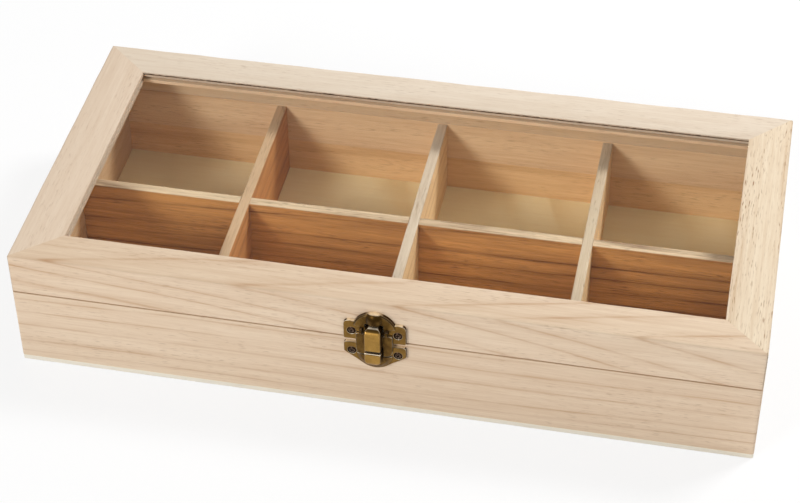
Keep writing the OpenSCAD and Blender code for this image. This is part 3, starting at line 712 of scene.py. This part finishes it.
def softened(name, voxel, rounds, share):
    """A fitting's mesh with every edge tumbled smooth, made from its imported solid."""
    shape = bmesh.new()
    shape.from_mesh(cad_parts[name].data)
    bmesh.ops.remove_doubles(shape, verts=shape.verts, dist=2e-6)
    mesh = bpy.data.meshes.new(name + "_draft")
    shape.to_mesh(mesh)
    shape.free()
    draft = bpy.data.objects.new(name + "_draft", mesh)
    bpy.context.collection.objects.link(draft)
    cast = draft.modifiers.new("cast", "REMESH")
    cast.mode = "VOXEL"
    cast.voxel_size = voxel * MM
    smooth = draft.modifiers.new("smooth", "SMOOTH")
    smooth.factor = 0.5
    smooth.iterations = rounds
    thin = draft.modifiers.new("thin", "DECIMATE")
    thin.ratio = share
    ready = bpy.data.meshes.new_from_object(draft.evaluated_get(bpy.context.evaluated_depsgraph_get()))
    bpy.data.objects.remove(draft)
    ready.name = name + "_metal"
    finish_mesh(ready, 60.0)
    mark_edges(ready)
    return ready


def round_off(mesh, low_z, half_w, height, proud):
    """Draws in the lower end of what stands more than proud off the wood, up to height above low_z, so
    that it ends in a blunt half ellipse."""
    for v in mesh.vertices:
        x, y, z = (c / MM for c in v.co)
        up = min(1.0, max(0.0, (z - low_z) / height))
        share = eased(abs(y) - BOX_D / 2 - proud) * (abs(x) < half_w + 0.1)
        kept = 0.25 + 0.75 * math.sqrt(1.0 - (1.0 - up) ** 2)
        v.co.x *= 1.0 - share * (1.0 - kept)


FITTINGS = {
    "latch_lid_plate": "lid", "latch_tongue": "tongue", "latch_catch_plate": "box", "latch_pin": "lid",
    "hinge_left_box_leaf": "box", "hinge_right_box_leaf": "box",
    "hinge_left_lid_leaf": "lid", "hinge_right_lid_leaf": "lid",
    "hinge_left_pin": "box", "hinge_right_pin": "box",
}
# The fittings whose metal isn't as the others'
METALS = {"latch_pin": AGED_AND_SHADED, "latch_tongue": TONGUE, "latch_catch_plate": CATCH}


def make_fittings():
    for name, body in FITTINGS.items():
        mesh = softened(name, voxel=0.11, rounds=5, share=0.45)
        if name == "latch_catch_plate":
            round_off(mesh, low_z=CATCH_LOW_Z + 1.0, half_w=CATCH_W / 2, height=3.2, proud=3.2)
        add_piece(name + "_metal", mesh, METALS.get(name, BRASS), "antique_brass", body, name)


HEAD_R, HEAD_H, SHANK_R, SHANK_LEN = 1.95, 0.9, 0.9, 5.4
# The cross recess: half the width of an arm, how far an arm reaches, and its depth
RECESS_W, RECESS_R, RECESS_D = 0.33, 1.2, 0.75
THREAD_PITCH, THREAD_D = 1.1, 0.2
# Points round a screw, rings of its head and steps of its thread
AROUND, HEAD_RINGS, THREAD_STEPS = 64, 26, 45


def screw_mesh(name, outward):
    """Cross-recessed screw with its axis along y, seated at y = 0, its head towards outward."""
    dome_r = (HEAD_R ** 2 + HEAD_H ** 2) / (2 * HEAD_H)
    rows = []
    for i in range(1, HEAD_RINGS + 1):
        row, r = [], HEAD_R * i / HEAD_RINGS
        for k in range(AROUND):
            a, b = r * math.cos(math.tau * k / AROUND), r * math.sin(math.tau * k / AROUND)
            near, far = min(abs(a), abs(b)), max(abs(a), abs(b))
            arm = eased((RECESS_W * (1.15 - 0.35 * far / RECESS_R) - near) / 0.16 + 0.5)
            sunk = RECESS_D * (1.0 - 0.45 * far / RECESS_R) * arm * eased((RECESS_R - far) / 0.25)
            out = HEAD_H - dome_r + math.sqrt(dome_r ** 2 - r * r) - sunk
            row.append((a, outward * out, b))
        rows.append(row)
    point = 1.8 * SHANK_R
    for i in range(THREAD_STEPS + 1):
        deep = SHANK_LEN * i / THREAD_STEPS
        taper = min(1.0, (SHANK_LEN - deep) / point + 0.02)
        row = []
        for k in range(AROUND):
            phase = (deep / THREAD_PITCH + k / AROUND) % 1.0
            r = taper * (SHANK_R - THREAD_D * eased(abs(2 * phase - 1)) * eased(deep / 0.8))
            turn = math.tau * k / AROUND
            row.append((r * math.cos(turn), -outward * deep, r * math.sin(turn)))
        rows.append(row)
    mesh = mesh_of(name, rows, sharp=35.0)
    mark_edges(mesh)
    return mesh


def screw_rows():
    """Geometry Nodes tree that repeats a screw: pairs of screws, the pairs in a row along x."""
    tree = bpy.data.node_groups.new("screw_rows", "GeometryNodeTree")
    sockets = {}
    for name, kind in (
        ("Screw", "NodeSocketGeometry"), ("Pitch in a pair", "NodeSocketFloat"), ("Pairs", "NodeSocketInt"),
        ("Pitch of the pairs", "NodeSocketFloat"), ("Place", "NodeSocketVector"), ("Seed", "NodeSocketInt"),
        ("Material", "NodeSocketMaterial"),
    ):
        sockets[name] = tree.interface.new_socket(name, in_out="INPUT", socket_type=kind)
    tree.interface.new_socket("Screws", in_out="OUTPUT", socket_type="NodeSocketGeometry")
    add, join = tree.nodes.new, tree.links.new
    given, out = add("NodeGroupInput"), add("NodeGroupOutput")

    def row(count, pitch):
        """Points along x, an equal way either side of the middle."""
        line, step, start, back = (add(kind) for kind in (
            "GeometryNodeMeshLine", "ShaderNodeCombineXYZ", "ShaderNodeMath", "ShaderNodeCombineXYZ"
        ))
        half = add("ShaderNodeMath")
        half.operation, start.operation = "SUBTRACT", "MULTIPLY"
        half.inputs[1].default_value = 1.0
        scaled = add("ShaderNodeMath")
        scaled.operation = "MULTIPLY"
        scaled.inputs[1].default_value = -0.5
        if isinstance(count, int):
            line.inputs["Count"].default_value = count
            half.inputs[0].default_value = count
        else:
            join(count, line.inputs["Count"])
            join(count, half.inputs[0])
        join(pitch, step.inputs[0])
        join(half.outputs[0], start.inputs[0])
        join(pitch, start.inputs[1])
        join(start.outputs[0], scaled.inputs[0])
        join(scaled.outputs[0], back.inputs[0])
        join(back.outputs[0], line.inputs["Start Location"])
        join(step.outputs[0], line.inputs["Offset"])
        return line.outputs[0]

    spin, angle = add("FunctionNodeRandomValue"), add("ShaderNodeCombineXYZ")
    turned = add("FunctionNodeEulerToRotation")
    spin.data_type = "FLOAT"
    spin.inputs["Max"].default_value = math.tau
    pairs, screws = add("GeometryNodeInstanceOnPoints"), add("GeometryNodeInstanceOnPoints")
    moved, painted = add("GeometryNodeTransform"), add("GeometryNodeSetMaterial")
    halfway, real = (add("GeometryNodeRealizeInstances") for _ in range(2))
    join(row(2, given.outputs["Pitch in a pair"]), pairs.inputs["Instance"])
    join(row(given.outputs["Pairs"], given.outputs["Pitch of the pairs"]), pairs.inputs["Points"])
    join(pairs.outputs[0], halfway.inputs[0])
    join(given.outputs["Seed"], spin.inputs["Seed"])
    join(next(s for s in spin.outputs if s.enabled), angle.inputs[1])
    join(angle.outputs[0], turned.inputs[0])
    join(halfway.outputs[0], screws.inputs["Points"])
    join(given.outputs["Screw"], screws.inputs["Instance"])
    join(turned.outputs[0], screws.inputs["Rotation"])
    join(screws.outputs[0], moved.inputs["Geometry"])
    join(given.outputs["Place"], moved.inputs["Translation"])
    join(moved.outputs[0], real.inputs[0])
    join(real.outputs[0], painted.inputs["Geometry"])
    join(given.outputs["Material"], painted.inputs["Material"])
    join(painted.outputs[0], out.inputs[0])
    return tree, sockets


# Each row of screws: its body, the way its heads face along y, its pairs and its seed
SCREWS = {
    "latch_lid_screws": ("lid", -1, 1, 21), "latch_catch_screws": ("box", -1, 1, 23),
    "hinge_box_screws": ("box", 1, 2, 21), "hinge_lid_screws": ("lid", 1, 2, 21),
}


def make_screws():
    tree, sockets = screw_rows()
    for node, (body, outward, pairs, seed) in SCREWS.items():
        x, y, z = sides_of(node)
        seat = y[1] - HEAD_H if outward > 0 else y[0] + HEAD_H
        span_x = width(x) - 2 * HEAD_R
        pitch = span_x if pairs == 1 else span_x - 2 * HINGE_X
        holder = bpy.data.objects.new(node + "_draft", screw_mesh(node + "_draft", outward))
        bpy.context.collection.objects.link(holder)
        repeat = holder.modifiers.new("rows", "NODES")
        repeat.node_group = tree
        for name, value in (
            ("Pitch in a pair", pitch * MM), ("Pairs", pairs), ("Pitch of the pairs", 2 * HINGE_X * MM),
            ("Place", (middle(x) * MM, seat * MM, middle(z) * MM)), ("Seed", seed), ("Material", DARK),
        ):
            repeat[sockets[name].identifier] = value
        mesh = bpy.data.meshes.new_from_object(
            holder.evaluated_get(bpy.context.evaluated_depsgraph_get())
        )
        bpy.data.objects.remove(holder)
        mesh.name = node + "_metal"
        add_piece(node + "_metal", mesh, DARK, "dark_screws", body, node)


def finish_of(name):
    if name == "glass_pane":
        return GLASS
    if name in SCREWS:
        return DARK
    return WOODS.get(name) or METALS.get(name, BRASS)


def paint_nodes():
    """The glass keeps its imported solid, and the nodes that pieces replace get the same finish."""
    for name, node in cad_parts.items():
        node.data.materials.clear()
        node.data.materials.append(finish_of(name))


paint_nodes()
make_walls()
make_lid_rails()
make_dividers()
make_bottom()
make_fittings()
make_screws()


# ---------- camera, light and floor ----------

# Camera: its turn from the front towards the right, its height and its roll in degrees, its place in
# metres, its lens and sensor in millimetres, and its shift as shares of the frame's width
CAMERA_TURN, CAMERA_HEIGHT, CAMERA_ROLL = 14.21, 41.99, -2.29
CAMERA_PLACE = (0.16345, -0.82577, 0.75957)
CAMERA_LENS, CAMERA_SENSOR = 96.70, 36.0
CAMERA_SHIFT = (0.0908, 0.0444)

# Lamps: name, direction round from the front towards the right and height, in degrees, then how far
# and how wide, in metres, and how strongly it lights a face turned to it, where 1 shows white as white
LAMPS = [
    ("lamp_right_back", 125.0, 50.0, 1.7, 0.40, 0.64),
    ("lamp_left_front", -30.0, 30.0, 1.7, 0.40, 0.43),
    ("lamp_low_back", 180.0, 17.0, 1.7, 0.40, 0.25),
]
# Height of the point that the lamps face, in metres
LAMPS_AIM = 0.03
WORLD_LEVEL = 0.32

# Floor: half its side and its height in metres, and the share of plain white in what is seen of it
FLOOR_HALF, FLOOR_Z, FLOOR_WHITE = 4.0, -0.0004, 0.8


def make_camera():
    """Camera above the front, a little to the right."""
    turn, tilt, roll = (math.radians(v) for v in (CAMERA_TURN, CAMERA_HEIGHT, CAMERA_ROLL))
    back = Vector((math.sin(turn) * math.cos(tilt), -math.cos(turn) * math.cos(tilt), math.sin(tilt)))
    right = (-back).cross(Vector((0, 0, 1))).normalized()
    up = right.cross(-back)
    level_right = math.cos(roll) * right + math.sin(roll) * up
    level_up = -math.sin(roll) * right + math.cos(roll) * up
    data = bpy.data.cameras.new("camera")
    data.lens = CAMERA_LENS
    data.sensor_width = CAMERA_SENSOR
    data.shift_x, data.shift_y = CAMERA_SHIFT
    data.clip_start = 0.05
    camera = bpy.data.objects.new("camera", data)
    turned = Matrix((level_right, level_up, back)).transposed().to_4x4()
    camera.matrix_world = Matrix.Translation(CAMERA_PLACE) @ turned
    bpy.context.collection.objects.link(camera)
    bpy.context.scene.camera = camera


def area_light(name, turn, height, distance, size, strength):
    """Square lamp facing the box from a direction; its watts follow from its distance."""
    turn, height = math.radians(turn), math.radians(height)
    away = Vector((
        math.sin(turn) * math.cos(height), -math.cos(turn) * math.cos(height), math.sin(height)
    ))
    data = bpy.data.lights.new(name, "AREA")
    data.shape = "SQUARE"
    data.size = size
    data.energy = strength * (math.pi * distance) ** 2
    lamp = bpy.data.objects.new(name, data)
    lamp.location = away * distance + Vector((0.0, 0.0, LAMPS_AIM))
    lamp.rotation_euler = away.to_track_quat("Z", "Y").to_euler()
    bpy.context.collection.objects.link(lamp)


def make_world():
    """White where the camera, a reflection or the glass looks past the object; plain light elsewhere."""
    world = bpy.data.worlds.new("studio")
    world.use_nodes = True
    tree = world.node_tree
    tree.nodes.clear()
    out = tree.nodes.new("ShaderNodeOutputWorld")
    seen, lit = (tree.nodes.new("ShaderNodeBackground") for _ in range(2))
    for background, level in ((seen, 1.0), (lit, WORLD_LEVEL)):
        background.inputs["Color"].default_value = (1.0, 1.0, 1.0, 1.0)
        background.inputs["Strength"].default_value = level
    path = tree.nodes.new("ShaderNodeLightPath")
    seen_or_mirrored, any_look = (tree.nodes.new("ShaderNodeMath") for _ in range(2))
    seen_or_mirrored.operation = any_look.operation = "MAXIMUM"
    mix = tree.nodes.new("ShaderNodeMixShader")
    link = tree.links.new
    link(path.outputs["Is Camera Ray"], seen_or_mirrored.inputs[0])
    link(path.outputs["Is Glossy Ray"], seen_or_mirrored.inputs[1])
    link(seen_or_mirrored.outputs[0], any_look.inputs[0])
    link(path.outputs["Is Transmission Ray"], any_look.inputs[1])
    link(any_look.outputs[0], mix.inputs[0])
    link(lit.outputs[0], mix.inputs[1])
    link(seen.outputs[0], mix.inputs[2])
    link(mix.outputs[0], out.inputs[0])
    bpy.context.scene.world = world


def make_floor():
    """White floor that keeps the box's shadow, and is mostly plain white where it is looked at."""
    mesh = bpy.data.meshes.new("floor")
    corners = [(FLOOR_HALF * a, FLOOR_HALF * b, FLOOR_Z) for a, b in ((-1, -1), (1, -1), (1, 1), (-1, 1))]
    mesh.from_pydata(corners, [], [(0, 1, 2, 3)])
    floor = bpy.data.objects.new("floor", mesh)
    bpy.context.collection.objects.link(floor)
    f = Finish("floor_white")
    f.shader.inputs["Base Color"].default_value = (0.92, 0.92, 0.92, 1.0)
    f.shader.inputs["Roughness"].default_value = 0.9
    glow = f.add("ShaderNodeEmission")
    glow.inputs["Strength"].default_value = 1.0
    path = f.add("ShaderNodeLightPath")
    share = f.math("MAXIMUM", path.outputs["Is Camera Ray"], path.outputs["Is Transmission Ray"])
    share = f.math("MAXIMUM", share, path.outputs["Is Glossy Ray"])
    mix = f.add("ShaderNodeMixShader")
    f.join(f.times(share, FLOOR_WHITE), mix.inputs[0])
    f.join(f.shader.outputs[0], mix.inputs[1])
    f.join(glow.outputs[0], mix.inputs[2])
    f.join(mix.outputs[0], f.out.inputs["Surface"])
    mesh.materials.append(f.material)


make_camera()
make_world()
make_floor()
for lamp in LAMPS:
    area_light(*lamp)

view = bpy.context.scene.view_settings
view.view_transform = "Standard"
